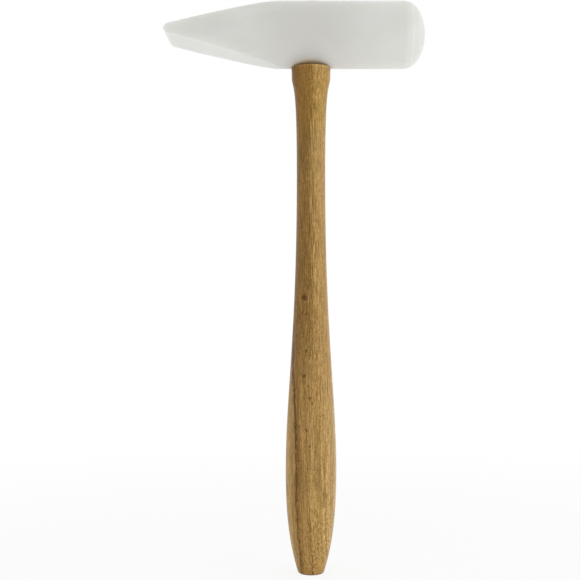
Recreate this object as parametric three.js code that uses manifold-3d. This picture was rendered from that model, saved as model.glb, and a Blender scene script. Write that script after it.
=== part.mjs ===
// Nylon mallet: a length of round nylon bar with a cross-peen wedge at one end and a
// domed face at the other, fixed on a turned beech handle by a wedged through tenon.
// Millimetres, +Z up the handle, origin at the middle of the handle's flat butt.
// The peen points to -X and the domed face to +X.
import * as THREE from 'three';
import { mergeVertices } from 'three/addons/utils/BufferGeometryUtils.js';
import Module from 'manifold-3d';

// Head, turned and milled from nylon bar
const HEAD_DIAMETER = 30;
const PEEN_REACH = 65; // handle axis to the tip of the peen
const PEEN_LENGTH = 51.6; // tip to where the two flats run out of the bar
const NOSE_THICKNESS = 4; // across the peen where the flats meet its nose
const NOSE_DEPTH = 1.4; // how far the nose stands out past the flats
const NOSE_RADIUS = 0.9; // rounded tip between the two short chamfers of the nose
const DOME_REACH = 51.2; // handle axis to the crown of the domed face
const DOME_FACE_RADIUS = 21.4; // broad curve of the striking face
const DOME_RIM_RADIUS = 8.4; // tighter curve that blends the face into the bar

// Handle, turned from beech
const HANDLE_LENGTH = 227.3; // butt to the shoulder that carries the head
const BUTT_DIAMETER = 11.4; // where the sides would meet the flat end
const BUTT_EDGE = 1; // rounding of the butt's edge
const GRIP_DIAMETER = 22.8;
const GRIP_HEIGHT = 46; // butt to the fullest part of the grip
const WAIST_DIAMETER = 12.8;
const WAIST_HEIGHT = 179; // butt to the thinnest part
const COLLAR_DIAMETER = 17.2;
const COLLAR_LENGTH = 5.8;
const COLLAR_EDGE = 0.3; // chamfer round the shoulder

// How the turned curves leave and reach their ends, as shares of each stretch
const BUTT_TAPER_SHARE = 0.3; // radius gained per length where the butt starts
const BUTT_PULL_SHARE = 0.22;
const GRIP_LOWER_PULL_SHARE = 0.53;
const GRIP_UPPER_PULL_SHARE = 0.26;
const WAIST_LOWER_PULL_SHARE = 0.55;
const WAIST_UPPER_PULL_SHARE = 0.88;
const COLLAR_PULL_SHARE = 0.1;
const COLLAR_TAPER_SHARE = 0.2; // radius gained per length where the neck meets the collar

// Eye and tenon: the end of the handle passes right through the head
const TENON_DIAMETER = 9.4;
const FIT_CLEARANCE = 0.3; // between the tenon and the eye, and round each wedge
const FLARE_HEIGHT = 13; // upper stretch of the eye, which widens towards the top
const FLARE_GAIN = 0.5; // radius that the eye gains over that stretch
const SEAT_DEPTH = 0.3; // flat faced into the round of the bar for the shoulder
const SEAT_CLEARANCE = 0.5; // between the collar and the wall of that flat

// Hardwood wedge, driven into a saw kerf that runs along the head
const KERF_WIDTH = 1.2;
const KERF_DEPTH = 24; // below the top of the head
const WOOD_WEDGE_THICKNESS = 2.4;
const WOOD_WEDGE_TIP = 0.7;
const WOOD_WEDGE_LENGTH = 21;

// Steel wedge, driven across the hardwood one
const STEEL_WEDGE_THICKNESS = 1.6;
const STEEL_WEDGE_TIP = 0.5;
const STEEL_WEDGE_LENGTH = 12;
const STEEL_WEDGE_WIDTH = 6.4;

// Fineness of the curved surfaces
const BAR_SIDES = 96;
const HANDLE_SIDES = 64;
const EYE_SIDES = 64;
const ARC_STEPS = 5;
const CURVE_STEPS = 13;

// Sizes that follow from those above
const OVERRUN = HEAD_DIAMETER / 10; // how far a cut runs past what it cuts
const headRadius = HEAD_DIAMETER / 2;
const collarRadius = COLLAR_DIAMETER / 2;
const tenonRadius = TENON_DIAMETER / 2;
const headAxisHeight = HANDLE_LENGTH + headRadius - SEAT_DEPTH;
const flareStart = headRadius - FLARE_HEIGHT;

const wasm = await Module();
wasm.setup();

// Closed geometry to a solid: shared corners merged, collapsed triangles at poles left out
function solidFrom(geometry) {
  geometry.deleteAttribute('normal');
  geometry.deleteAttribute('uv');
  const merged = mergeVertices(geometry);
  const index = merged.index.array;
  const triangles = [];
  for (let i = 0; i < index.length; i += 3) {
    const [a, b, c] = index.slice(i, i + 3);
    if (a !== b && b !== c && c !== a) triangles.push(a, b, c);
  }
  return new wasm.Manifold(new wasm.Mesh({
    numProp: 3,
    vertProperties: merged.attributes.position.array,
    triVerts: Uint32Array.from(triangles),
  }));
}

function meshFrom(solid, name, material) {
  const { vertProperties, triVerts } = solid.getMesh();
  const geometry = new THREE.BufferGeometry();
  geometry.setAttribute('position', new THREE.BufferAttribute(vertProperties, 3));
  geometry.setIndex(new THREE.BufferAttribute(triVerts, 1));
  geometry.computeVertexNormals();
  const mesh = new THREE.Mesh(geometry, material);
  mesh.name = name;
  return mesh;
}

// Profile of radius against height, turned about the Z axis, its zero height at the given base
function turned(profile, sides, steps, base = 0) {
  const geometry = new THREE.LatheGeometry(profile.getPoints(steps), sides);
  return solidFrom(geometry.rotateX(Math.PI / 2).translate(0, 0, base));
}

// Outline drawn in the XZ plane, extruded along Y evenly to both sides of it
function extrudedAlongY(outline, length, steps) {
  const options = { depth: length, bevelEnabled: false, curveSegments: steps };
  const geometry = new THREE.ExtrudeGeometry(outline, options);
  return solidFrom(geometry.rotateX(Math.PI / 2).translate(0, length / 2, 0));
}

// Outline drawn in the YZ plane, extruded along X evenly to both sides of it
function extrudedAlongX(outline, length, steps) {
  const options = { depth: length, bevelEnabled: false, curveSegments: steps };
  const geometry = new THREE.ExtrudeGeometry(outline, options).rotateX(Math.PI / 2);
  return solidFrom(geometry.rotateZ(Math.PI / 2).translate(-length / 2, 0, 0));
}

// Round bar of the head, along X, with the domed face turned on its +X end.
// The face is one broad arc about the axis, and a tighter arc runs tangent from it to the side.
function domedBar() {
  const faceCentre = DOME_REACH - DOME_FACE_RADIUS;
  const rimOffset = headRadius - DOME_RIM_RADIUS;
  const rimCentre = faceCentre + Math.sqrt((DOME_FACE_RADIUS - DOME_RIM_RADIUS) ** 2 - rimOffset ** 2);
  const meeting = Math.atan2(rimCentre - faceCentre, rimOffset);
  const profile = new THREE.Path();
  profile.moveTo(0, -PEEN_REACH - OVERRUN);
  profile.lineTo(headRadius, -PEEN_REACH - OVERRUN);
  profile.lineTo(headRadius, rimCentre);
  profile.absarc(rimOffset, rimCentre, DOME_RIM_RADIUS, 0, meeting, false);
  profile.absarc(0, faceCentre, DOME_FACE_RADIUS, meeting, Math.PI / 2, false);
  const geometry = new THREE.LatheGeometry(profile.getPoints(ARC_STEPS), BAR_SIDES);
  return solidFrom(geometry.rotateZ(-Math.PI / 2));
}

// Side view of the head: two flats converge on a blunt nose, two short chamfers with a
// rounded tip. The flats run on past the top and bottom of the bar, which lies inside the
// outline from there on.
function peenOutline() {
  const halfNose = NOSE_THICKNESS / 2;
  const cornerX = NOSE_DEPTH - PEEN_REACH;
  const runOutX = PEEN_LENGTH - PEEN_REACH;
  const slope = (headRadius - halfNose) / (runOutX - cornerX);
  const farX = runOutX + OVERRUN / slope;
  const farZ = headRadius + OVERRUN;
  const tipX = NOSE_RADIUS - PEEN_REACH;
  const cornerReach = Math.hypot(cornerX - tipX, halfNose);
  const tipTurn = Math.atan2(halfNose, cornerX - tipX) + Math.acos(NOSE_RADIUS / cornerReach);
  const outline = new THREE.Shape();
  outline.moveTo(cornerX, halfNose);
  outline.absarc(tipX, 0, NOSE_RADIUS, tipTurn, 2 * Math.PI - tipTurn, false);
  outline.lineTo(cornerX, -halfNose);
  outline.lineTo(farX, -farZ);
  outline.lineTo(DOME_REACH + OVERRUN, -farZ);
  outline.lineTo(DOME_REACH + OVERRUN, farZ);
  outline.lineTo(farX, farZ);
  outline.closePath();
  return outline;
}

// Hole or tenon through the head: straight, then flared towards the top of the bar
function flaredRound(radius, bottom) {
  const top = headRadius + OVERRUN;
  const profile = new THREE.Path();
  profile.moveTo(0, bottom);
  profile.lineTo(radius, bottom);
  profile.lineTo(radius, flareStart);
  profile.lineTo(radius + FLARE_GAIN * (top - flareStart) / FLARE_HEIGHT, top);
  profile.lineTo(0, top);
  return turned(profile, EYE_SIDES, ARC_STEPS);
}

function eye() {
  return flaredRound(tenonRadius + FIT_CLEARANCE, -headRadius - OVERRUN);
}

// Flat faced into the bottom of the bar, where the shoulder of the handle sits
function seatCut() {
  const seatRadius = collarRadius + SEAT_CLEARANCE;
  const profile = new THREE.Path();
  profile.moveTo(0, -headRadius - OVERRUN);
  profile.lineTo(seatRadius, -headRadius - OVERRUN);
  profile.lineTo(seatRadius, SEAT_DEPTH - headRadius);
  profile.lineTo(0, SEAT_DEPTH - headRadius);
  return turned(profile, EYE_SIDES, ARC_STEPS);
}

function nylonHead() {
  const side = extrudedAlongY(peenOutline(), HEAD_DIAMETER + 2 * OVERRUN, ARC_STEPS);
  return domedBar().intersect(side).subtract(eye()).subtract(seatCut());
}

// Tapered wedge outline, point down, from past the top of the head to its tip.
// A clearance makes it the cut that the same wedge is driven into.
function wedgeOutline(thickness, tip, length, clearance) {
  const taper = (thickness - tip) / 2 / length;
  const top = headRadius + OVERRUN;
  const halfTop = thickness / 2 + taper * OVERRUN + clearance;
  const halfTip = tip / 2 + clearance;
  const tipZ = headRadius - length - clearance;
  const outline = new THREE.Shape();
  outline.moveTo(-halfTop, top);
  outline.lineTo(-halfTip, tipZ);
  outline.lineTo(halfTip, tipZ);
  outline.lineTo(halfTop, top);
  outline.closePath();
  return outline;
}

function steelWedgeBlank(clearance) {
  const outline = wedgeOutline(STEEL_WEDGE_THICKNESS, STEEL_WEDGE_TIP, STEEL_WEDGE_LENGTH, clearance);
  return extrudedAlongY(outline, STEEL_WEDGE_WIDTH + 2 * clearance, 1);
}

function woodWedgeBlank(clearance) {
  const outline = wedgeOutline(WOOD_WEDGE_THICKNESS, WOOD_WEDGE_TIP, WOOD_WEDGE_LENGTH, clearance);
  return extrudedAlongX(outline, TENON_DIAMETER + 2 * (FLARE_GAIN + OVERRUN), 1);
}

// Saw kerf that the hardwood wedge opens, a little deeper than the wedge is long
function kerf() {
  const bottom = headRadius - KERF_DEPTH;
  const outline = new THREE.Shape();
  outline.moveTo(-KERF_WIDTH / 2, bottom);
  outline.lineTo(KERF_WIDTH / 2, bottom);
  outline.lineTo(KERF_WIDTH / 2, headRadius + OVERRUN);
  outline.lineTo(-KERF_WIDTH / 2, headRadius + OVERRUN);
  outline.closePath();
  return extrudedAlongX(outline, TENON_DIAMETER + 2 * (FLARE_GAIN + OVERRUN), 1);
}

// Everything under the round top of the bar. The tenon and both wedges are cut to it,
// because they are dressed off together, flush with the head.
function underTop() {
  const outline = new THREE.Shape();
  outline.moveTo(headRadius, 0);
  outline.absarc(0, 0, headRadius, 0, Math.PI, false);
  outline.lineTo(-headRadius, -HEAD_DIAMETER);
  outline.lineTo(headRadius, -HEAD_DIAMETER);
  outline.closePath();
  return extrudedAlongX(outline, HEAD_DIAMETER, BAR_SIDES / 4);
}

function hardwoodWedge() {
  const fitted = woodWedgeBlank(0).intersect(flaredRound(tenonRadius, -headRadius));
  return fitted.intersect(underTop()).subtract(steelWedgeBlank(FIT_CLEARANCE));
}

function steelWedge() {
  return steelWedgeBlank(0).intersect(underTop());
}

// Turned part of the handle, from the butt up to the shoulder
function turnedHandle() {
  const buttRadius = BUTT_DIAMETER / 2;
  const gripRadius = GRIP_DIAMETER / 2;
  const waistRadius = WAIST_DIAMETER / 2;
  const collarStart = HANDLE_LENGTH - COLLAR_LENGTH;
  const gripToWaist = WAIST_HEIGHT - GRIP_HEIGHT;
  const waistToCollar = collarStart - WAIST_HEIGHT;
  const buttPull = BUTT_PULL_SHARE * GRIP_HEIGHT;
  const collarPull = COLLAR_PULL_SHARE * waistToCollar;
  const profile = new THREE.Path();
  profile.moveTo(0, 0);
  profile.lineTo(buttRadius - BUTT_EDGE, 0);
  profile.quadraticCurveTo(buttRadius, 0, buttRadius + BUTT_TAPER_SHARE * BUTT_EDGE, BUTT_EDGE);
  profile.bezierCurveTo(
    buttRadius + BUTT_TAPER_SHARE * buttPull, buttPull,
    gripRadius, GRIP_HEIGHT - GRIP_LOWER_PULL_SHARE * GRIP_HEIGHT,
    gripRadius, GRIP_HEIGHT,
  );
  profile.bezierCurveTo(
    gripRadius, GRIP_HEIGHT + GRIP_UPPER_PULL_SHARE * gripToWaist,
    waistRadius, WAIST_HEIGHT - WAIST_LOWER_PULL_SHARE * gripToWaist,
    waistRadius, WAIST_HEIGHT,
  );
  profile.bezierCurveTo(
    waistRadius, WAIST_HEIGHT + WAIST_UPPER_PULL_SHARE * waistToCollar,
    collarRadius - COLLAR_TAPER_SHARE * collarPull, collarStart - collarPull,
    collarRadius, collarStart,
  );
  profile.lineTo(collarRadius, HANDLE_LENGTH - COLLAR_EDGE);
  profile.lineTo(collarRadius - COLLAR_EDGE, HANDLE_LENGTH);
  profile.lineTo(0, HANDLE_LENGTH);
  return turned(profile, HANDLE_SIDES, CURVE_STEPS, -headAxisHeight);
}

// Slotted end of the handle, rooted halfway down inside the collar
function tenon() {
  const root = SEAT_DEPTH - headRadius - COLLAR_LENGTH / 2;
  const slots = kerf().add(woodWedgeBlank(FIT_CLEARANCE)).add(steelWedgeBlank(FIT_CLEARANCE));
  return flaredRound(tenonRadius, root).intersect(underTop()).subtract(slots);
}

function beechHandle() {
  return turnedHandle().add(tenon());
}

// Finishes
const nylon = new THREE.MeshStandardMaterial({ color: 0xdcdcd6, roughness: 0.42, metalness: 0 });
const beech = new THREE.MeshStandardMaterial({ color: 0xab8551, roughness: 0.5, metalness: 0 });
const darkHardwood = new THREE.MeshStandardMaterial({ color: 0x8a5f38, roughness: 0.6, metalness: 0 });
const steel = new THREE.MeshStandardMaterial({ color: 0x8d9093, roughness: 0.38, metalness: 1 });

// All four pieces are modelled about the head's centre, which stands on the handle's axis
const assembly = new THREE.Group();
assembly.position.set(0, 0, headAxisHeight);
assembly.add(
  meshFrom(nylonHead(), 'nylon_head', nylon),
  meshFrom(beechHandle(), 'beech_handle', beech),
  meshFrom(hardwoodWedge(), 'hardwood_wedge', darkHardwood),
  meshFrom(steelWedge(), 'steel_cross_wedge', steel),
);

const mallet = new THREE.Group();
mallet.name = 'nylon_mallet';
mallet.add(assembly);

export default mallet;
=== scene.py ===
import math

import bmesh
import bpy
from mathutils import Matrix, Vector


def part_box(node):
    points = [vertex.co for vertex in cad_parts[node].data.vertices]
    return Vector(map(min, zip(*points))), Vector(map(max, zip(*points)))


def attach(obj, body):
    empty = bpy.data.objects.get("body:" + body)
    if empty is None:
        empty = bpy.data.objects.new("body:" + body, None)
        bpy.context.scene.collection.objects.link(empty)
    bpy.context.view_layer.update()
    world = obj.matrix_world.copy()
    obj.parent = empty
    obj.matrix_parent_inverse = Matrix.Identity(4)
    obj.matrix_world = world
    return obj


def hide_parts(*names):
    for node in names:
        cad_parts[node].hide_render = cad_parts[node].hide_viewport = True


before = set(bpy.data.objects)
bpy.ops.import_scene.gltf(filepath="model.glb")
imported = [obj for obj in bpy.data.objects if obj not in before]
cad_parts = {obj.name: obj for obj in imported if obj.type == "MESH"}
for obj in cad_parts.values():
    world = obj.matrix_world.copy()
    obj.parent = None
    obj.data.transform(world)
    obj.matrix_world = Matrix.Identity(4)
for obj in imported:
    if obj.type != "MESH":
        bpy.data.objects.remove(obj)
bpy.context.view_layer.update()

# Camera. The photograph looks level along the +Y direction from half a metre away, a little
# left of the handle and about half way up it, so the head is seen slightly from below.
MM = 0.001
CAMERA_PLACE = (-9.455 * MM, -504 * MM, 127.25 * MM)
PHOTO_FOCAL_PIXELS = 1119.37
PHOTO_WIDTH_PIXELS = 580
SENSOR_WIDTH = 36
NEAREST_SEEN = 10 * MM

lens = bpy.data.cameras.new("Photo camera")
lens.sensor_width = SENSOR_WIDTH
lens.lens = SENSOR_WIDTH * PHOTO_FOCAL_PIXELS / PHOTO_WIDTH_PIXELS
lens.clip_start = NEAREST_SEEN
camera = bpy.data.objects.new("Photo camera", lens)
camera.location = CAMERA_PLACE
camera.rotation_euler = (math.radians(90), 0, 0)
bpy.context.scene.collection.objects.link(camera)
bpy.context.scene.camera = camera

# Handle: one piece of beech, turned from its small flat butt through a full grip and a slim
# waist to the collar that carries the head. A thinner tenon goes on up through the head's eye,
# flares with it and is dressed flush with the nylon. It is sanded and has a thin clear coat.
BUTT_RADIUS = 5.7 * MM
BUTT_EDGE = 1 * MM
GRIP_RADIUS = 11.4 * MM
GRIP_HEIGHT = 46 * MM
WAIST_RADIUS = 6.4 * MM
WAIST_HEIGHT = 179 * MM
SHOULDER_HEIGHT = 227.3 * MM
COLLAR_RADIUS = 8.6 * MM
COLLAR_LENGTH = 5.8 * MM
COLLAR_EDGE = 0.15 * MM
COLLAR_LIP = 0.2 * MM
TENON_RADIUS = 4.96 * MM
HEAD_RADIUS = 15 * MM
FLARE_LENGTH = 13 * MM
FLARE_GAIN = 0.5 * MM
OVERRUN = 3 * MM  # how far a cut runs past what it cuts
head_low, head_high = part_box("nylon_head")
axis_height = (head_high.z + head_low.z) / 2
handle_sizes = {
    "Butt Radius": BUTT_RADIUS,
    "Butt Edge": BUTT_EDGE,
    "Grip Radius": GRIP_RADIUS,
    "Grip Height": GRIP_HEIGHT,
    "Waist Radius": WAIST_RADIUS,
    "Waist Height": WAIST_HEIGHT,
    "Shoulder Height": SHOULDER_HEIGHT,
    "Collar Radius": COLLAR_RADIUS,
    "Collar Length": COLLAR_LENGTH,
    "Collar Edge": COLLAR_EDGE,
    "Collar Lip": COLLAR_LIP,
    "Tenon Radius": TENON_RADIUS,
    "Flare Start": axis_height + HEAD_RADIUS - FLARE_LENGTH,
    "Flare Slope": FLARE_GAIN / FLARE_LENGTH,
    "Tenon Top": axis_height + HEAD_RADIUS + OVERRUN,
}

# How far the curves of the profile are pulled, as shares of the stretch that they run over
BUTT_PULL_SHARE = 0.22
BUTT_TAPER_SHARE = 0.3  # radius gained per length where the butt starts
GRIP_LOWER_PULL_SHARE = 0.47
GRIP_UPPER_PULL_SHARE = 0.26
WAIST_LOWER_PULL_SHARE = 0.55
WAIST_UPPER_PULL_SHARE = 0.88
COLLAR_PULL_SHARE = 0.1
COLLAR_TAPER_SHARE = 0.2  # radius gained per length where the neck meets the collar

# How many straight steps stand in for each curve
BUTT_EDGE_STEPS = 6
GRIP_STEPS = 40
WAIST_STEPS = 64
NECK_STEPS = 32
COLLAR_EDGE_STEPS = 5
HANDLE_SIDES = 128
SPINDLE_RADIUS = 1 * MM
WELD_WITHIN = 0.002 * MM


def plug(tree, socket, value):
    """A number, a point or the output of another node goes into a socket."""
    if isinstance(value, bpy.types.NodeSocket):
        tree.links.new(value, socket)
    else:
        socket.default_value = value


def part(tree, kind, settings, values):
    """A node with its settings, and with its inputs filled by name or number."""
    node = tree.nodes.new(kind)
    for name, value in settings.items():
        setattr(node, name, value)
    for name, value in values.items():
        plug(tree, node.inputs[name], value)
    return node


def figure(tree, operation, first, second):
    """The result of one sum on two values."""
    return part(tree, "ShaderNodeMath", {"operation": operation}, {0: first, 1: second}).outputs[0]


def plus(tree, first, second):
    return figure(tree, "ADD", first, second)


def minus(tree, first, second):
    return figure(tree, "SUBTRACT", first, second)


def times(tree, first, second):
    return figure(tree, "MULTIPLY", first, second)


def turned_handle_tree(material):
    """The handle's profile from its named sizes, turned once round the Z axis."""
    tree = bpy.data.node_groups.new("Turned handle", "GeometryNodeTree")
    for name in handle_sizes:
        tree.interface.new_socket(name, in_out="INPUT", socket_type="NodeSocketFloat")
    tree.interface.new_socket("Geometry", in_out="OUTPUT", socket_type="NodeSocketGeometry")
    size = tree.nodes.new("NodeGroupInput").outputs

    def point(radius, height):
        """A point of the profile, drawn flat with the height running down the Y axis."""
        down = times(tree, height, -1)
        return part(tree, "ShaderNodeCombineXYZ", {}, {"X": radius, "Y": down}).outputs["Vector"]

    def straight(start, end):
        points = {"Start": start, "End": end}
        return part(tree, "GeometryNodeCurvePrimitiveLine", {}, points).outputs["Curve"]

    def rounded(start, corner, end, steps):
        points = {"Start": start, "Middle": corner, "End": end, "Resolution": steps}
        return part(tree, "GeometryNodeCurveQuadraticBezier", {}, points).outputs["Curve"]

    def flowing(start, pull_on, pull_back, end, steps):
        points = {"Start": start, "Start Handle": pull_on, "End Handle": pull_back, "End": end}
        points["Resolution"] = steps
        kind = "GeometryNodeCurvePrimitiveBezierSegment"
        return part(tree, kind, {"mode": "POSITION"}, points).outputs["Curve"]

    butt_radius, butt_edge = size["Butt Radius"], size["Butt Edge"]
    grip_radius, grip_height = size["Grip Radius"], size["Grip Height"]
    waist_radius, waist_height = size["Waist Radius"], size["Waist Height"]
    collar_radius, collar_edge = size["Collar Radius"], size["Collar Edge"]
    shoulder_height = size["Shoulder Height"]
    tenon_radius, end_height = size["Tenon Radius"], size["Tenon Top"]
    lip_radius = plus(tree, collar_radius, size["Collar Lip"])
    collar_start = minus(tree, shoulder_height, size["Collar Length"])
    grip_to_waist = minus(tree, waist_height, grip_height)
    waist_to_collar = minus(tree, collar_start, waist_height)
    butt_pull = times(tree, BUTT_PULL_SHARE, grip_height)
    collar_pull = times(tree, COLLAR_PULL_SHARE, waist_to_collar)
    flare = times(tree, size["Flare Slope"], minus(tree, end_height, size["Flare Start"]))

    butt_flat = point(minus(tree, butt_radius, butt_edge), 0)
    butt_side = point(plus(tree, butt_radius, times(tree, BUTT_TAPER_SHARE, butt_edge)), butt_edge)
    above_butt = point(plus(tree, butt_radius, times(tree, BUTT_TAPER_SHARE, butt_pull)), butt_pull)
    below_grip = point(grip_radius, times(tree, GRIP_LOWER_PULL_SHARE, grip_height))
    grip = point(grip_radius, grip_height)
    above_grip = point(
        grip_radius, plus(tree, grip_height, times(tree, GRIP_UPPER_PULL_SHARE, grip_to_waist))
    )
    below_waist = point(
        waist_radius, minus(tree, waist_height, times(tree, WAIST_LOWER_PULL_SHARE, grip_to_waist))
    )
    waist = point(waist_radius, waist_height)
    above_waist = point(
        waist_radius, plus(tree, waist_height, times(tree, WAIST_UPPER_PULL_SHARE, waist_to_collar))
    )
    below_collar = point(
        minus(tree, collar_radius, times(tree, COLLAR_TAPER_SHARE, collar_pull)),
        minus(tree, collar_start, collar_pull),
    )
    collar_foot = point(collar_radius, collar_start)
    collar_top = point(lip_radius, minus(tree, shoulder_height, collar_edge))
    shoulder_corner = point(lip_radius, shoulder_height)
    shoulder_edge = point(minus(tree, lip_radius, collar_edge), shoulder_height)
    shoulder_root = point(tenon_radius, shoulder_height)
    tenon_bend = point(tenon_radius, size["Flare Start"])
    tenon_rim = point(plus(tree, tenon_radius, flare), end_height)

    profile = tree.nodes.new("GeometryNodeJoinGeometry")
    stretches = [
        straight(point(0, 0), butt_flat),
        rounded(butt_flat, point(butt_radius, 0), butt_side, BUTT_EDGE_STEPS),
        flowing(butt_side, above_butt, below_grip, grip, GRIP_STEPS),
        flowing(grip, above_grip, below_waist, waist, WAIST_STEPS),
        flowing(waist, above_waist, below_collar, collar_foot, NECK_STEPS),
        straight(collar_foot, collar_top),
        rounded(collar_top, shoulder_corner, shoulder_edge, COLLAR_EDGE_STEPS),
        straight(shoulder_edge, shoulder_root),
        straight(shoulder_root, tenon_bend),
        straight(tenon_bend, tenon_rim),
        straight(tenon_rim, point(0, end_height)),
    ]
    for stretch in reversed(stretches):
        tree.links.new(stretch, profile.inputs[0])

    # The lathe's path is a small ring, so the profile stands back by that ring's radius
    stood_back = part(
        tree, "GeometryNodeSetPosition", {},
        {"Geometry": profile.outputs[0], "Offset": (-SPINDLE_RADIUS, 0, 0)},
    )
    ring = part(
        tree, "GeometryNodeCurvePrimitiveCircle", {},
        {"Resolution": HANDLE_SIDES, "Radius": SPINDLE_RADIUS},
    )
    upright = part(tree, "GeometryNodeSetCurveNormal", {"mode": "Z_UP"}, {"Curve": ring.outputs[0]})
    lathe = part(
        tree, "GeometryNodeCurveToMesh", {},
        {"Curve": upright.outputs[0], "Profile Curve": stood_back.outputs[0]},
    )
    weld = part(
        tree, "GeometryNodeMergeByDistance", {},
        {"Geometry": lathe.outputs[0], "Distance": WELD_WITHIN},
    )
    outward = part(tree, "GeometryNodeFlipFaces", {}, {"Mesh": weld.outputs[0]})
    real = part(tree, "GeometryNodeRealizeInstances", {}, {"Geometry": outward.outputs[0]})
    finish = part(
        tree, "GeometryNodeSetMaterial", {}, {"Geometry": real.outputs[0], "Material": material}
    )
    part(tree, "NodeGroupOutput", {}, {"Geometry": finish.outputs[0]})
    return tree


def settle(piece):
    """The piece keeps the shape that its modifiers give it, and the modifiers go."""
    depsgraph = bpy.context.evaluated_depsgraph_get()
    made = bpy.data.meshes.new_from_object(piece.evaluated_get(depsgraph))
    piece.modifiers.clear()
    piece.data = made
    made.name = piece.name


def new_piece(name, mesh=None):
    """A new object that stays at the origin. Its mesh holds its place."""
    piece = bpy.data.objects.new(name, mesh or bpy.data.meshes.new(name))
    bpy.context.scene.collection.objects.link(piece)
    return piece


def piece_from_tree(name, tree, sizes):
    """A new object shaped by a node tree, whose inputs are set by their identifiers."""
    piece = new_piece(name)
    maker = piece.modifiers.new("Shape", "NODES")
    maker.node_group = tree
    for item in tree.interface.items_tree:
        if item.in_out == "INPUT":
            maker[item.identifier] = sizes[item.name]
    settle(piece)
    return piece


def cut(piece, tool, operation="DIFFERENCE"):
    """One solid cut by another, or cut down to it. The tool is thrown away."""
    boolean = piece.modifiers.new("Cut", "BOOLEAN")
    boolean.operation = operation
    boolean.solver = "EXACT"
    boolean.object = tool
    settle(piece)
    bpy.data.objects.remove(tool)


def closed_solid(name, corners, faces):
    """A new object from its corners and faces, all of them turned outwards."""
    mesh = bpy.data.meshes.new(name)
    mesh.from_pydata(corners, [], faces)
    shape = bmesh.new()
    shape.from_mesh(mesh)
    bmesh.ops.recalc_face_normals(shape, faces=shape.faces)
    shape.to_mesh(mesh)
    shape.free()
    return new_piece(name, mesh)


def drawn_out(name, outline, half_length, place):
    """A closed outline drawn out evenly both ways. place gives the corner for an outline
    point and a distance along."""
    count = len(outline)
    corners = [place(a, b, -half_length) for a, b in outline]
    corners += [place(a, b, half_length) for a, b in outline]
    faces = [list(range(count)), list(range(2 * count - 1, count - 1, -1))]
    for i in range(count):
        following = (i + 1) % count
        faces.append([i, i + count, following + count, following])
    return closed_solid(name, corners, faces)


def along_x(across, height, along):
    """A corner of something drawn out along the head, with heights from the head's axis."""
    return (along, across, axis_height + height)


def along_y(across, height, along):
    """A corner of something drawn out across the head, with heights from the head's axis."""
    return (across, along, axis_height + height)


ROUND_TOP_STEPS = 96


def under_top():
    """Everything under the round top of the head, for what is dressed off flush with it."""
    turns = [math.pi * i / ROUND_TOP_STEPS for i in range(ROUND_TOP_STEPS + 1)]
    outline = [(HEAD_RADIUS * math.cos(t), HEAD_RADIUS * math.sin(t)) for t in turns]
    below = -axis_height - OVERRUN
    outline += [(-HEAD_RADIUS, below), (HEAD_RADIUS, below)]
    return drawn_out("Under the top", outline, HEAD_RADIUS, along_x)


WOOD_WEDGE_THICKNESS = 2.4 * MM
WOOD_WEDGE_TIP = 0.7 * MM
WOOD_WEDGE_LENGTH = 21 * MM
STEEL_WEDGE_THICKNESS = 1.6 * MM
STEEL_WEDGE_TIP = 0.5 * MM
STEEL_WEDGE_LENGTH = 12 * MM
STEEL_WEDGE_WIDTH = 6.4 * MM
KERF_WIDTH = 1.2 * MM
KERF_DEPTH = 24 * MM
ACROSS_TENON = 10 * MM  # half of a length that passes both sides of the tenon
SNUG = 0.04 * MM  # hairline between parts that are driven tight


def wedge_outline(thickness, tip, length, room):
    """End view of a wedge with its slope carried on above the head, and room all round it."""
    slope = (thickness - tip) / 2 / length
    half_top = thickness / 2 + slope * OVERRUN + room
    top = HEAD_RADIUS + OVERRUN
    point = HEAD_RADIUS - length - room
    return [(-half_top, top), (-tip / 2 - room, point), (tip / 2 + room, point), (half_top, top)]


def wood_wedge_blank(room):
    outline = wedge_outline(WOOD_WEDGE_THICKNESS, WOOD_WEDGE_TIP, WOOD_WEDGE_LENGTH, room)
    return drawn_out("Wood wedge blank", outline, ACROSS_TENON, along_x)


def steel_wedge_blank(room):
    outline = wedge_outline(STEEL_WEDGE_THICKNESS, STEEL_WEDGE_TIP, STEEL_WEDGE_LENGTH, room)
    return drawn_out("Steel wedge blank", outline, STEEL_WEDGE_WIDTH / 2 + room, along_y)


def saw_kerf():
    bottom = HEAD_RADIUS - KERF_DEPTH
    top = HEAD_RADIUS + OVERRUN
    half = KERF_WIDTH / 2
    outline = [(-half, bottom), (half, bottom), (half, top), (-half, top)]
    return drawn_out("Saw kerf", outline, ACROSS_TENON, along_x)


SHARP_FROM_DEGREES = 30


def shade(piece):
    """Round surfaces look round, and edges look sharp."""
    piece.data.shade_smooth()
    piece.data.set_sharp_from_angle(angle=math.radians(SHARP_FROM_DEGREES))


def linear(red, green, blue):
    """A colour written in the usual 0 to 255 steps, as the light values that a shader takes."""
    steps = [value / 255 for value in (red, green, blue)]
    return tuple(
        (s / 12.92 if s <= 0.04045 else ((s + 0.055) / 1.055) ** 2.4) for s in steps
    ) + (1,)


def stretched(tree, scale, shift=(0, 0, 0)):
    """The piece's own place in millimetres for a pattern to be drawn on. scale says how fine
    the pattern is along X, Y and Z, and shift keeps one pattern from following another."""
    place = part(tree, "ShaderNodeTexCoord", {}, {}).outputs["Object"]
    sizes = tuple(1 / MM * s for s in scale)
    return part(
        tree, "ShaderNodeMapping", {}, {"Vector": place, "Scale": sizes, "Location": shift}
    ).outputs["Vector"]


def noise(tree, place, detail=2, roughness=0.5):
    return part(
        tree, "ShaderNodeTexNoise", {},
        {"Vector": place, "Scale": 1, "Detail": detail, "Roughness": roughness},
    ).outputs["Fac"]


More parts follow.
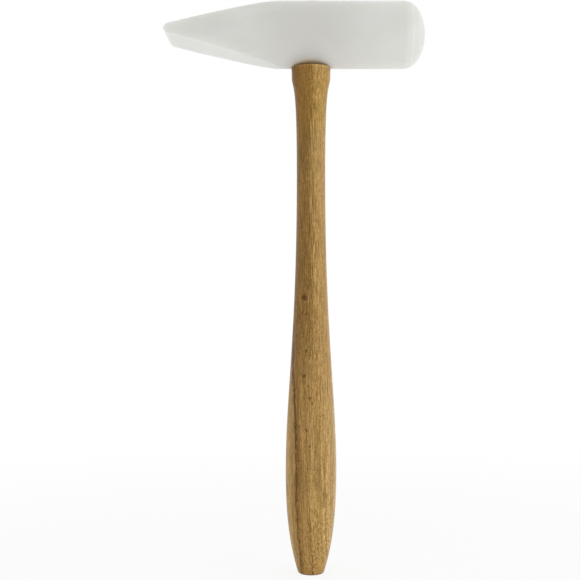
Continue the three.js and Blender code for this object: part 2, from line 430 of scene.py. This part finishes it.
def reach(tree, value, low, high, to_low=0, to_high=1, smooth=False):
    """A value brought from one range into another, and held at its ends."""
    settings = {"interpolation_type": "SMOOTHSTEP" if smooth else "LINEAR"}
    return part(
        tree, "ShaderNodeMapRange", settings,
        {"Value": value, "From Min": low, "From Max": high, "To Min": to_low, "To Max": to_high},
    ).outputs["Result"]


def swing(tree, pattern, low, high):
    """A noise pattern, which stays mostly between 0.3 and 0.7, made to swing between two values."""
    return reach(tree, pattern, 0.3, 0.7, low, high)


def apart(tree, first, second):
    """How far apart two values are, either way."""
    return figure(tree, "ABSOLUTE", minus(tree, first, second), 0)


def mixed(tree, amount, first, second, blend="MIX"):
    """Two colours mixed. Inputs 6 and 7 of the node are its two colours, and output 2 is too."""
    settings = {"data_type": "RGBA", "blend_type": blend}
    return part(
        tree, "ShaderNodeMix", settings, {0: amount, 6: first, 7: second}
    ).outputs[2]


def tinted(tree, amount, colour, tint):
    """A colour multiplied by a tint, by as much as amount says."""
    return mixed(tree, amount, colour, tint, "MULTIPLY")


def new_finish(name):
    """A material with nothing in it but its shader and its output."""
    material = bpy.data.materials.new(name)
    material.use_nodes = True
    tree = material.node_tree
    tree.nodes.clear()
    shader = tree.nodes.new("ShaderNodeBsdfPrincipled")
    part(tree, "ShaderNodeOutputMaterial", {}, {"Surface": shader.outputs["BSDF"]})
    return material, tree, shader


def bumped(tree, shader, height, depth):
    """Fine relief on the surface, at most depth high."""
    bump = part(tree, "ShaderNodeBump", {}, {"Height": height, "Distance": depth, "Strength": 1})
    plug(tree, shader.inputs["Normal"], bump.outputs["Normal"])


# The beech. All heights and distances in it are in millimetres.
beech, wood, wood_shader = new_finish("Clear-coated beech")
own_place = part(wood, "ShaderNodeSeparateXYZ", {}, {"Vector": stretched(wood, (1, 1, 1))}).outputs
across_mm, back_mm, height_mm = own_place["X"], own_place["Y"], own_place["Z"]

# Growth layers stand nearly upright across the handle and lean to the left near the butt. The
# curve gives the lean by the height, each as a share of the whole.
LEAN_HEIGHT = 100
FULL_LEAN = 5
TOP_LEAN_SHARE = 0.72
LEAN_SHARES = ((0.08, 0.24), (0.25, 0.61), (0.5, 0.74), (0.65, 0.8), (0.88, 0.77))
lean = part(wood, "ShaderNodeFloatCurve", {}, {"Value": reach(wood, height_mm, 0, LEAN_HEIGHT)})
lean_curve = lean.mapping.curves[0]
lean_curve.points[0].location = (0, 0)
lean_curve.points[1].location = (1, TOP_LEAN_SHARE)
for height_share, lean_share in LEAN_SHARES:
    lean_curve.points.new(height_share, lean_share)
lean.mapping.update()
lean_mm = times(wood, lean.outputs["Value"], FULL_LEAN)
leaning = part(
    wood, "ShaderNodeCombineXYZ", {},
    {"X": plus(wood, across_mm, lean_mm), "Y": back_mm, "Z": height_mm},
).outputs["Vector"]
along_fibres = part(
    wood, "ShaderNodeMapping", {},
    {"Vector": leaning, "Scale": (3, 3, 0.1), "Location": (3, 0, 2)},
).outputs["Vector"]
fibre = noise(wood, along_fibres)
grain = noise(wood, stretched(wood, (3.4, 3.4, 0.9), (4, 9, 6)), roughness=0.6)

LAYER_SLANT = 0.2  # how far the layers turn to the left towards the back
slow_wave = noise(wood, stretched(wood, (0.1, 0.1, 0.02)), detail=1)
quick_wave = noise(wood, stretched(wood, (0.6, 0.6, 0.3)), detail=3)
layer = plus(wood, across_mm, times(wood, back_mm, LAYER_SLANT))
layer = plus(wood, layer, lean_mm)
layer = plus(wood, layer, swing(wood, slow_wave, -0.5, 0.5))
layer = plus(wood, layer, swing(wood, quick_wave, -0.35, 0.35))
ragged_layer = plus(wood, layer, swing(wood, fibre, -1.5, 1.5))

# Colour of each layer from left to right, by its place across the middle of the handle. The palest,
# at the far right, also paints a highlight along the right edge of the grip
LAYER_COLOURS_AND_RIM_HIGHLIGHT = (
    (-12, (182, 154, 95)),
    (-7, (168, 138, 79)),
    (-5.5, (156, 125, 67)),
    (-4.7, (133, 101, 49)),
    (-3.9, (146, 113, 58)),
    (-2.8, (161, 127, 70)),
    (-0.8, (166, 132, 75)),
    (0.6, (170, 136, 79)),
    (3.0, (175, 141, 82)),
    (4.6, (180, 145, 85)),
    (6.5, (181, 146, 86)),
    (8.6, (187, 153, 94)),
    (9.6, (180, 144, 85)),
    (10.4, (191, 159, 101)),
    (11.8, (192, 160, 103)),
    # painted highlight along the right edge of the grip
    (16, (214, 185, 134)),
)
first_layer, last_layer = LAYER_COLOURS_AND_RIM_HIGHLIGHT[0][0], LAYER_COLOURS_AND_RIM_HIGHLIGHT[-1][0]
ramp = part(wood, "ShaderNodeValToRGB", {}, {"Fac": reach(wood, layer, first_layer, last_layer)})
stops = ramp.color_ramp.elements
while len(stops) < len(LAYER_COLOURS_AND_RIM_HIGHLIGHT):
    stops.new(0.5)
for stop, (layer_place, colour) in zip(stops, LAYER_COLOURS_AND_RIM_HIGHLIGHT):
    stop.position = (layer_place - first_layer) / (last_layer - first_layer)
    stop.color = linear(*colour)
wood_colour = ramp.outputs["Color"]

# Two dark lines between the layers. They run up the grip, broken into dashes near the butt.
LINE_COLOUR = linear(66, 36, 8)
LINE_FADE = 14
DASHES_JOIN_OVER = 25
DARK_LINES = (  # the layer it follows, its half width, the height where it is whole, its top
    (-4.8, 0.55, 50, 122),
    (0.3, 0.45, 90, 34),
)
dashes = noise(wood, stretched(wood, (0.5, 0.5, 0.7)), detail=3, roughness=0.6)
for line_layer, half_width, whole_from, line_top in DARK_LINES:
    off_line = plus(wood, apart(wood, layer, line_layer), swing(wood, fibre, -0.25, 0.25))
    on_line = reach(wood, off_line, 0.1, half_width, 1, 0, True)
    wholeness = reach(wood, height_mm, whole_from - DASHES_JOIN_OVER, whole_from, 0.08, 0.3)
    dashed = reach(wood, plus(wood, dashes, wholeness), 0.44, 0.6, 0.15, 0.86)
    drawn = times(wood, on_line, dashed)
    drawn = times(wood, drawn, reach(wood, height_mm, line_top - LINE_FADE, line_top, 1, 0))
    wood_colour = mixed(wood, drawn, wood_colour, LINE_COLOUR)

# Above the grip the layers on the left are darker, up to a soft step in front
DARK_SIDE_TINT = linear(214, 206, 185)
upper_part = reach(wood, height_mm, 70, 120, 0, 1, True)
dark_side = reach(wood, ragged_layer, 0.8, 4.4, 1, 0, True)
wood_colour = tinted(wood, times(wood, upper_part, dark_side), wood_colour, DARK_SIDE_TINT)


def wavering(pattern, red, green, blue):
    """White that wavers with a pattern, by a share of each channel, to multiply a colour by."""
    return part(wood, "ShaderNodeCombineColor", {}, {
        name: swing(wood, pattern, 1 - share, 1 + share)
        for name, share in (("Red", red), ("Green", green), ("Blue", blue))
    }).outputs["Color"]


# Long fibres and short grain, and fine growth rings that show in the grip
wood_colour = tinted(wood, 1, wood_colour, wavering(fibre, 0.42, 0.46, 0.56))
wood_colour = tinted(wood, 1, wood_colour, wavering(grain, 0.26, 0.28, 0.36))
ring_place = part(
    wood, "ShaderNodeCombineXYZ", {},
    {"X": times(wood, layer, 1.3), "Z": times(wood, height_mm, 0.01)},
).outputs["Vector"]
rings = noise(wood, ring_place, roughness=0.6)
in_grip = reach(wood, height_mm, 80, 130, 1, 0)
wood_colour = tinted(wood, in_grip, wood_colour, wavering(rings, 0.32, 0.35, 0.44))


def flecks(place, low, high, rarest):
    """Small lens-shaped spots, one in each cell of a stretched pattern, of random strength."""
    cells = part(
        wood, "ShaderNodeTexVoronoi", {}, {"Vector": place, "Scale": 1, "Randomness": 1}
    ).outputs
    strength = part(wood, "ShaderNodeSeparateColor", {}, {"Color": cells["Color"]}).outputs["Red"]
    spot = reach(wood, cells["Distance"], low, high, 1, 0, True)
    return times(wood, spot, reach(wood, strength, rarest, 1))


# Pale fibres, and the short dark rays and longer pores that run up the handle
PALE_FIBRE_COLOUR = linear(206, 168, 104)
RAY_COLOUR = linear(106, 68, 24)
PORE_COLOUR = linear(110, 72, 26)
pale_fibres = flecks(stretched(wood, (2, 2, 0.5), (11, 2, 8)), 0.14, 0.5, 0.3)
rays = flecks(stretched(wood, (1.8, 1.8, 1)), 0.16, 0.55, 0.3)
pores = flecks(stretched(wood, (1.8, 1.8, 0.3), (3, 5, 2)), 0.14, 0.5, 0.5)
ray_strength = reach(wood, height_mm, 20, 55, 0.95, 0.65)
wood_colour = mixed(wood, times(wood, pale_fibres, 0.4), wood_colour, PALE_FIBRE_COLOUR)
wood_colour = mixed(wood, times(wood, rays, ray_strength), wood_colour, RAY_COLOUR)
wood_colour = mixed(wood, times(wood, pores, 0.6), wood_colour, PORE_COLOUR)

# The colour drifts towards red in broad patches
RED_DRIFT_COLOUR = linear(176, 124, 66)
red_drift = noise(wood, stretched(wood, (0.09, 0.09, 0.022), (7, 3, 1)))
wood_colour = mixed(
    wood, reach(wood, red_drift, 0.35, 0.7, 0, 0.3), wood_colour, RED_DRIFT_COLOUR
)

# The sharp edge that the lathe tool left round the shoulder gets a painted highlight, paler where
# it catches light under the head
SHOULDER_HIGHLIGHT_TINT = (1.25, 1.32, 1.45, 1)
painted_shoulder_highlight = reach(wood, height_mm, 226.3, 227)
wood_colour = tinted(wood, painted_shoulder_highlight, wood_colour, SHOULDER_HIGHLIGHT_TINT)

# The neck under the collar is a little more golden
NECK_TINT = linear(253, 251, 228)
NECK_MIDDLE = 212
near_neck = reach(wood, apart(wood, height_mm, NECK_MIDDLE), 5, 18, 1, 0, True)
wood_colour = tinted(wood, near_neck, wood_colour, NECK_TINT)

# The last 30 mm above the butt are painted a little paler, most of all on the right: painted light
# bounced up from the floor
BUTT_BOUNCE_LIGHT_TINT = (1.13, 1.14, 1.14, 1)
painted_butt_light = reach(wood, height_mm, 28, 42, 1, 0, True)
painted_butt_light = times(wood, painted_butt_light, reach(wood, across_mm, -8, 4, 0.4, 1))
wood_colour = tinted(wood, painted_butt_light, wood_colour, BUTT_BOUNCE_LIGHT_TINT)

# Reddish-brown blots and small dark dots that the timber has in front
BLOT_COLOUR = linear(88, 50, 14)
BLOT_SQUASH = 0.8  # they are a little longer up the handle than across it
BLOTS = (  # place across, height, radius and strength
    (-3.1, 124.0, 1.7, 0.9),
    (-3.3, 89.2, 1.2, 0.75),
    (-2.2, 116.6, 0.7, 0.8),
    (-4.1, 117.1, 0.5, 0.7),
    (-5.4, 99.5, 0.5, 0.8),
    (-2.3, 100.3, 0.6, 0.8),
    (-1.5, 84.8, 0.6, 0.8),
    (-1.05, 79.3, 0.6, 0.8),
    (0.2, 77.2, 0.5, 0.7),
    (-2.0, 65.4, 0.6, 0.8),
    (-0.6, 58.4, 0.6, 0.7),
)
in_front = reach(wood, back_mm, -3, -4, 0, 1)
for blot_across, blot_height, blot_radius, blot_strength in BLOTS:
    from_blot = part(
        wood, "ShaderNodeVectorMath", {"operation": "DISTANCE"},
        {
            0: stretched(wood, (1, 0, BLOT_SQUASH)),
            1: (blot_across, 0, blot_height * BLOT_SQUASH),
        },
    ).outputs["Value"]
    from_blot = plus(wood, from_blot, swing(wood, grain, -0.5, 0.5))
    blot = reach(
        wood, from_blot, 0.3 * blot_radius, 1.1 * blot_radius, blot_strength, 0, True
    )
    wood_colour = mixed(wood, times(wood, blot, in_front), wood_colour, BLOT_COLOUR)

# End grain, on the flat of the butt and the dressed end of the tenon, is browner
END_GRAIN_COLOUR = linear(110, 74, 38)
facing = part(wood, "ShaderNodeNewGeometry", {}, {}).outputs["Normal"]
facing_up = part(wood, "ShaderNodeSeparateXYZ", {}, {"Vector": facing}).outputs["Z"]
end_grain = reach(wood, apart(wood, facing_up, 0), 0.45, 0.9)
wood_colour = mixed(wood, times(wood, end_grain, 0.55), wood_colour, END_GRAIN_COLOUR)

# A thin clear coat over sanded wood, with a soft bloom where the surface turns away
plug(wood, wood_shader.inputs["Base Color"], wood_colour)
plug(wood, wood_shader.inputs["Roughness"], swing(wood, fibre, 0.42, 0.55))
wood_shader.inputs["Specular IOR Level"].default_value = 0.12
wood_shader.inputs["Coat Weight"].default_value = 0.06
wood_shader.inputs["Coat Roughness"].default_value = 0.3
wood_shader.inputs["Sheen Weight"].default_value = 0.2
wood_shader.inputs["Sheen Roughness"].default_value = 0.4
bumped(wood, wood_shader, minus(wood, fibre, rays), 0.02 * MM)

handle = piece_from_tree("turned_beech_handle", turned_handle_tree(beech), handle_sizes)
cut(handle, under_top(), "INTERSECT")
cut(handle, saw_kerf())
cut(handle, wood_wedge_blank(SNUG))
cut(handle, steel_wedge_blank(SNUG))
shade(handle)
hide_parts("beech_handle")
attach(handle, "root")

# Head: a length of round natural nylon bar. One end is milled to a cross peen with two flats
# and a blunt round nose, and the other is turned to a domed striking face. The eye is bored
# right through, flared at the top, and a small flat is faced round it below for the shoulder.
PEEN_REACH = 65 * MM
PEEN_LENGTH = 51.6 * MM
NOSE_THICKNESS = 4 * MM
NOSE_DEPTH = 1.4 * MM
NOSE_RADIUS = 0.9 * MM
DOME_REACH = 51.2 * MM
DOME_FACE_RADIUS = 21.4 * MM
DOME_RIM_RADIUS = 8.4 * MM
EYE_RADIUS = 5 * MM
SEAT_DEPTH = 0.3 * MM
EDGE_ROUNDING = 0.2 * MM
ROUNDING_STEPS = 3
CREASE_DEGREES = 8
SHORTEST_EDGE = 0.02 * MM
SHARP_WITHIN = 10 * MM  # of the handle's axis, where the eye and the seat are
HEAD_SIDES = 128
DOME_RIM_STEPS = 24
DOME_FACE_STEPS = 16
NOSE_STEPS = 16


def turned(name, profile, place, sides):
    """A profile of (distance along, radius) pairs turned into a closed solid. Its ends are
    single points on the axis."""
    rings = profile[1:-1]
    corners = [place(profile[0][0], 0, 0)]
    for along, radius in rings:
        for i in range(sides):
            turn = 2 * math.pi * i / sides
            corners.append(place(along, radius * math.cos(turn), radius * math.sin(turn)))
    corners.append(place(profile[-1][0], 0, 0))
    last = len(corners) - 1
    faces = []
    for i in range(sides):
        following = (i + 1) % sides
        faces.append([0, 1 + following, 1 + i])
        for ring in range(len(rings) - 1):
            a, b = 1 + ring * sides, 1 + (ring + 1) * sides
            faces.append([a + i, a + following, b + following, b + i])
        faces.append([last, last - sides + i, last - sides + following])
    return closed_solid(name, corners, faces)


def about_head(along, across, up):
    """A corner of something turned about the head's axis."""
    return (along, across, axis_height + up)


def about_handle(along, across, up):
    """A corner of something turned about the handle's axis, with heights from the head's."""
    return (across, up, axis_height + along)


def arc(centre, radius, start, end, steps):
    turns = [start + (end - start) * i / steps for i in range(steps + 1)]
    return [(centre[0] + radius * math.cos(t), centre[1] + radius * math.sin(t)) for t in turns]


def domed_bar():
    """The bar with its broad face arc, and a tighter arc that runs from it into the side."""
    face_centre = DOME_REACH - DOME_FACE_RADIUS
    rim_offset = HEAD_RADIUS - DOME_RIM_RADIUS
    rim_centre = face_centre + math.sqrt((DOME_FACE_RADIUS - DOME_RIM_RADIUS) ** 2 - rim_offset**2)
    meeting = math.atan2(rim_offset, rim_centre - face_centre)
    far = -PEEN_REACH - OVERRUN
    profile = [(far, 0), (far, HEAD_RADIUS)]
    profile += arc((rim_centre, rim_offset), DOME_RIM_RADIUS, math.pi / 2, meeting, DOME_RIM_STEPS)
    profile += arc((face_centre, 0), DOME_FACE_RADIUS, meeting, 0, DOME_FACE_STEPS)[1:]
    return turned("nylon_head_with_peen", profile, about_head, HEAD_SIDES)


def peen_side():
    """Side view of the head, as wide as the bar: two flats that end in a nose made of two
    short chamfers and a rounded tip."""
    half_nose = NOSE_THICKNESS / 2
    corner = NOSE_DEPTH - PEEN_REACH
    run_out = PEEN_LENGTH - PEEN_REACH
    slope = (HEAD_RADIUS - half_nose) / (run_out - corner)
    tip = NOSE_RADIUS - PEEN_REACH
    turn = math.atan2(half_nose, corner - tip)
    turn += math.acos(NOSE_RADIUS / math.hypot(corner - tip, half_nose))
    outline = [(corner, half_nose)]
    outline += arc((tip, 0), NOSE_RADIUS, turn, 2 * math.pi - turn, NOSE_STEPS)
    outline += [(corner, -half_nose)]
    far_x = run_out + OVERRUN / slope
    far_z = HEAD_RADIUS + OVERRUN
    end_x = DOME_REACH + OVERRUN
    outline += [(far_x, -far_z), (end_x, -far_z), (end_x, far_z), (far_x, far_z)]
    return drawn_out("Peen side", outline, HEAD_RADIUS + OVERRUN, along_y)


def flared_pin(name, bottom, radius):
    """A round pin that flares over the upper part of the head, as the eye and the tenon do."""
    bend = HEAD_RADIUS - FLARE_LENGTH
    top = HEAD_RADIUS + OVERRUN
    wide = radius + FLARE_GAIN * (top - bend) / FLARE_LENGTH
    profile = [(bottom, 0), (bottom, radius), (bend, radius), (top, wide), (top, 0)]
    return turned(name, profile, about_handle, HEAD_SIDES)


def eye_tool():
    return flared_pin("Eye tool", -HEAD_RADIUS - OVERRUN, EYE_RADIUS)


def seat_tool():
    bottom = -HEAD_RADIUS - OVERRUN
    top = SEAT_DEPTH - HEAD_RADIUS
    radius = COLLAR_RADIUS + COLLAR_LIP + SNUG
    profile = [(bottom, 0), (bottom, radius), (top, radius), (top, 0)]
    return turned("Seat tool", profile, about_handle, HEAD_SIDES)


def round_creases(piece, width):
    """Every edge sharper than the facets of the round surfaces gets a small rounding, apart
    from the edges round the handle, which are cut sharp. A facet lost in a cut is filled in."""
    shape = bmesh.new()
    shape.from_mesh(piece.data)
    bmesh.ops.remove_doubles(shape, verts=shape.verts, dist=SHORTEST_EDGE)
    bmesh.ops.holes_fill(shape, edges=shape.edges, sides=4)
    bmesh.ops.recalc_face_normals(shape, faces=shape.faces)
    weights = shape.edges.layers.float.new("bevel_weight_edge")
    for edge in shape.edges:
        if edge.calc_face_angle() < math.radians(CREASE_DEGREES):
            continue
        if math.hypot(*edge.verts[0].co.xy) > SHARP_WITHIN:
            edge[weights] = 1
        else:
            edge.smooth = False
    shape.to_mesh(piece.data)
    shape.free()
    bevel = piece.modifiers.new("Rounding", "BEVEL")
    bevel.limit_method = "WEIGHT"
    bevel.width = width
    bevel.segments = ROUNDING_STEPS
    bevel.use_clamp_overlap = False
    bevel.harden_normals = True
    piece.data.shade_smooth()
    settle(piece)


def give_finish(piece, material):
    piece.data.materials.clear()
    piece.data.materials.append(material)


# The nylon. It is drawn bar with fine lines along it, turning rings on the dome and the marks
# of the milling cutter on the peen, all of them faint.
nylon, plastic, plastic_shader = new_finish("Natural nylon")
along_head = part(
    plastic, "ShaderNodeSeparateXYZ", {}, {"Vector": stretched(plastic, (1, 1, 1))}
).outputs["X"]
from_axis = part(
    plastic, "ShaderNodeVectorMath", {"operation": "LENGTH"},
    {0: stretched(plastic, (0, 1, 1), (0, 0, -axis_height / MM))},
).outputs["Value"]
dome_ring_place = part(
    plastic, "ShaderNodeCombineXYZ", {}, {"X": times(plastic, from_axis, 1.6)}
).outputs["Vector"]
lathe_rings = noise(plastic, dome_ring_place, detail=3)
drag_marks = noise(plastic, stretched(plastic, (0.03, 1.2, 1.2)), detail=3)
cutter_marks = noise(plastic, stretched(plastic, (0.08, 0.5, 0.1)), detail=3)
on_dome = reach(plastic, along_head, 41, 43)
on_peen = reach(plastic, along_head, -15, -13, 1, 0)
cloud = noise(plastic, stretched(plastic, (0.06, 0.06, 0.06)))
nylon_colour = mixed(
    plastic, swing(plastic, cloud, 0, 1), linear(231, 232, 227), linear(227, 228, 222)
)
SURFACE_MARKS = (  # the marks, where they are, and how much they lighten and darken
    (drag_marks, 1, 0.01),
    (lathe_rings, on_dome, 0.035),
    (cutter_marks, on_peen, 0.03),
)
relief = drag_marks
for marks, where, strength in SURFACE_MARKS:
    faint = swing(plastic, marks, 1 - strength, 1 + strength)
    nylon_colour = tinted(plastic, where, nylon_colour, faint)
    relief = plus(plastic, relief, times(plastic, marks, where))

# Painted shade: a faint darker band in the nylon's colour where the wooden tenon inside holds back
# the light passing through
TENON_SHADE_COLOUR = linear(213, 211, 205)
TENON_SHADE_MIDDLE = -1.5
painted_tenon_shade = reach(plastic, apart(plastic, along_head, TENON_SHADE_MIDDLE), 2, 36, 0.6, 0, True)
nylon_colour = mixed(plastic, painted_tenon_shade, nylon_colour, TENON_SHADE_COLOUR)

# Painted shade and painted bounce light on the nylon close to the collar: grey painted shade
# further off, and brown painted shade and light bounced from the wood next to it
COLLAR_MIDDLE = -0.9
COLLAR_SHADE_AND_BOUNCE_TINTS = (  # squash along the head, distances where it is full and gone, and its colour
    (1.5, 9, 19, (206, 205, 199)),
    (1, 5.2, 10.4, (224, 203, 156)),
)
for squash, full, gone, colour in COLLAR_SHADE_AND_BOUNCE_TINTS:
    from_collar = part(
        plastic, "ShaderNodeVectorMath", {"operation": "DISTANCE"},
        {
            0: stretched(plastic, (squash, 1, 1)),
            1: (COLLAR_MIDDLE * squash, 0, (axis_height - HEAD_RADIUS) / MM),
        },
    ).outputs["Value"]
    painted_collar_shade = reach(plastic, from_collar, full, gone, 1, 0, True)
    nylon_colour = mixed(plastic, painted_collar_shade, nylon_colour, linear(*colour))
plug(plastic, plastic_shader.inputs["Base Color"], nylon_colour)
plug(plastic, plastic_shader.inputs["Roughness"], swing(plastic, drag_marks, 0.28, 0.38))
plastic_shader.inputs["Subsurface Weight"].default_value = 1
plastic_shader.inputs["Subsurface Radius"].default_value = (1, 1, 0.85)
plastic_shader.inputs["Subsurface Scale"].default_value = 3 * MM
plastic_shader.inputs["IOR"].default_value = 1.53
bumped(plastic, plastic_shader, relief, 0.01 * MM)

head = domed_bar()
cut(head, peen_side(), "INTERSECT")
cut(head, eye_tool())
cut(head, seat_tool())
round_creases(head, EDGE_ROUNDING)
give_finish(head, nylon)
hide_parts("nylon_head")
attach(head, "root")

# Hardwood wedge: a thin tapered slip of darker wood, driven into the saw kerf in the tenon
# along the length of the head, then sawn and filed flush with the nylon.
SLIP_LIGHT = linear(136, 92, 56)
SLIP_DARK = linear(98, 62, 36)
SLIP_PORE = linear(58, 36, 22)
hardwood, slip, slip_shader = new_finish("Dark hardwood")
slip_fibre = noise(slip, stretched(slip, (3.5, 3.5, 0.25)), detail=3, roughness=0.6)
slip_pores = part(
    slip, "ShaderNodeTexVoronoi", {}, {"Vector": stretched(slip, (3, 3, 0.5)), "Scale": 1}
).outputs["Distance"]
slip_colour = mixed(slip, swing(slip, slip_fibre, 0, 1), SLIP_DARK, SLIP_LIGHT)
slip_colour = mixed(slip, reach(slip, slip_pores, 0.1, 0.3, 0.6, 0), slip_colour, SLIP_PORE)
plug(slip, slip_shader.inputs["Base Color"], slip_colour)
plug(slip, slip_shader.inputs["Roughness"], swing(slip, slip_fibre, 0.55, 0.7))
bumped(slip, slip_shader, slip_fibre, 0.04 * MM)

wood_wedge = wood_wedge_blank(0)
wood_wedge.name = "driven_hardwood_wedge"
cut(wood_wedge, flared_pin("Tenon space", -HEAD_RADIUS, TENON_RADIUS), "INTERSECT")
cut(wood_wedge, under_top(), "INTERSECT")
cut(wood_wedge, steel_wedge_blank(SNUG))
shade(wood_wedge)
give_finish(wood_wedge, hardwood)
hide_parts("hardwood_wedge")
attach(wood_wedge, "root")

# Steel wedge: a short mild steel wedge driven across the wooden one to spread the tenon both
# ways, and filed off flush, which leaves it bright with fine straight file marks.
STEEL_BRIGHT = linear(156, 158, 160)
STEEL_DULL = linear(122, 118, 114)
steel, metal, metal_shader = new_finish("Filed mild steel")
file_marks = noise(metal, stretched(metal, (9, 0.4, 9)), detail=3, roughness=0.6)
stain = noise(metal, stretched(metal, (0.7, 0.7, 0.7)), detail=3)
filed_colour = mixed(metal, reach(metal, stain, 0.4, 0.7), STEEL_BRIGHT, STEEL_DULL)
filed_colour = tinted(metal, 1, filed_colour, swing(metal, file_marks, 0.7, 1.2))
plug(metal, metal_shader.inputs["Base Color"], filed_colour)
plug(metal, metal_shader.inputs["Roughness"], swing(metal, file_marks, 0.28, 0.45))
metal_shader.inputs["Metallic"].default_value = 1
bumped(metal, metal_shader, file_marks, 0.02 * MM)

steel_wedge = steel_wedge_blank(0)
steel_wedge.name = "driven_steel_wedge"
cut(steel_wedge, under_top(), "INTERSECT")
shade(steel_wedge)
give_finish(steel_wedge, steel)
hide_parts("steel_cross_wedge")
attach(steel_wedge, "root")

# Studio: a white floor that fades into a white surround, a large soft lamp at the right in
# front, and an even light from all round. The floor keeps the mallet's shadow.
WHITE = (1, 1, 1, 1)
FLOOR_RADIUS = 3
FLOOR_SIDES = 96
FLOOR_PAINT = (0.9, 0.9, 0.9, 1)
FLOOR_WHITE = 0.85  # how much of the floor's look is plain white instead of lit
SHADOW_NEAR = 0.1  # distance from the butt where the floor starts to fade to plain white
SHADOW_GONE = 0.45
AMBIENT_FRONT = 0.49
AMBIENT_BACK = 0.68
AMBIENT_OVERHEAD = 0.37
KEY_PLACE = (0.5, -0.3, 0.3)
KEY_AIM = (0, 0, 0.13)
KEY_SIZE = 0.4
KEY_POWER = 0.65
TABLE_SIZE = 1.4
TABLE_GLOW = 0.11


def seen_directly(tree):
    """1 for what the camera, a reflection or a look through glass sees, and 0 for plain light."""
    ray = part(tree, "ShaderNodeLightPath", {}, {}).outputs
    seen = figure(tree, "MAXIMUM", ray["Is Camera Ray"], ray["Is Glossy Ray"])
    return figure(tree, "MAXIMUM", seen, ray["Is Transmission Ray"])


floor_material = bpy.data.materials.new("White floor")
floor_material.use_nodes = True
floor_tree = floor_material.node_tree
floor_tree.nodes.clear()
paint = part(floor_tree, "ShaderNodeBsdfDiffuse", {}, {"Color": FLOOR_PAINT})
glow = part(floor_tree, "ShaderNodeEmission", {}, {"Color": WHITE, "Strength": 1})
from_mallet = part(
    floor_tree, "ShaderNodeVectorMath", {"operation": "LENGTH"},
    {0: part(floor_tree, "ShaderNodeTexCoord", {}, {}).outputs["Object"]},
).outputs["Value"]
fade = reach(floor_tree, from_mallet, SHADOW_NEAR, SHADOW_GONE, FLOOR_WHITE, 1, True)
whiteness = times(floor_tree, seen_directly(floor_tree), fade)
floor_mix = part(
    floor_tree, "ShaderNodeMixShader", {},
    {0: whiteness, 1: paint.outputs["BSDF"], 2: glow.outputs["Emission"]},
)
part(floor_tree, "ShaderNodeOutputMaterial", {}, {"Surface": floor_mix.outputs["Shader"]})
floor_mesh = bpy.data.meshes.new("Floor")
floor_shape = bmesh.new()
bmesh.ops.create_circle(
    floor_shape, cap_ends=True, segments=FLOOR_SIDES, radius=FLOOR_RADIUS
)
floor_shape.to_mesh(floor_mesh)
floor_shape.free()
floor_mesh.materials.append(floor_material)
floor = new_piece("Floor", floor_mesh)

world = bpy.data.worlds.new("White surround")
bpy.context.scene.world = world
world.use_nodes = True
world_tree = world.node_tree
world_tree.nodes.clear()
sky = part(world_tree, "ShaderNodeTexCoord", {}, {}).outputs["Generated"]
sky_side = part(world_tree, "ShaderNodeSeparateXYZ", {}, {"Vector": sky}).outputs
ambient = reach(world_tree, sky_side["Y"], -1, 1, AMBIENT_FRONT, AMBIENT_BACK)
overhead = reach(world_tree, sky_side["Z"], 0, 1, 0, AMBIENT_OVERHEAD)
ambient = plus(world_tree, ambient, overhead)
brightness = reach(world_tree, seen_directly(world_tree), 0, 1, ambient, 1)
surround = part(
    world_tree, "ShaderNodeBackground", {}, {"Color": WHITE, "Strength": brightness}
)
part(world_tree, "ShaderNodeOutputWorld", {}, {"Surface": surround.outputs["Background"]})


def soft_lamp(name, place, turn, size, power):
    light = bpy.data.lights.new(name, "AREA")
    light.shape = "SQUARE"
    light.size = size
    light.energy = power
    lamp = bpy.data.objects.new(name, light)
    lamp.location = place
    lamp.rotation_euler = turn
    bpy.context.scene.collection.objects.link(lamp)
    return lamp


def aimed(place, aim):
    """The turn of a lamp that stands at a place and shines at another."""
    toward = [a - p for a, p in zip(aim, place)]
    flat = math.hypot(toward[0], toward[1])
    return (math.atan2(flat, -toward[2]), 0, math.atan2(toward[1], toward[0]) - math.pi / 2)


soft_lamp("Key lamp", KEY_PLACE, aimed(KEY_PLACE, KEY_AIM), KEY_SIZE, KEY_POWER)

# The photograph's table is lit too, so an unseen panel lies on the floor and shines upwards
panel_power = TABLE_GLOW * math.pi * TABLE_SIZE**2
panel = soft_lamp("Table panel", (0, 0, 1 * MM), (math.pi, 0, 0), TABLE_SIZE, panel_power)
panel.visible_camera = False
panel.visible_glossy = False

bpy.context.scene.view_settings.view_transform = "Standard"
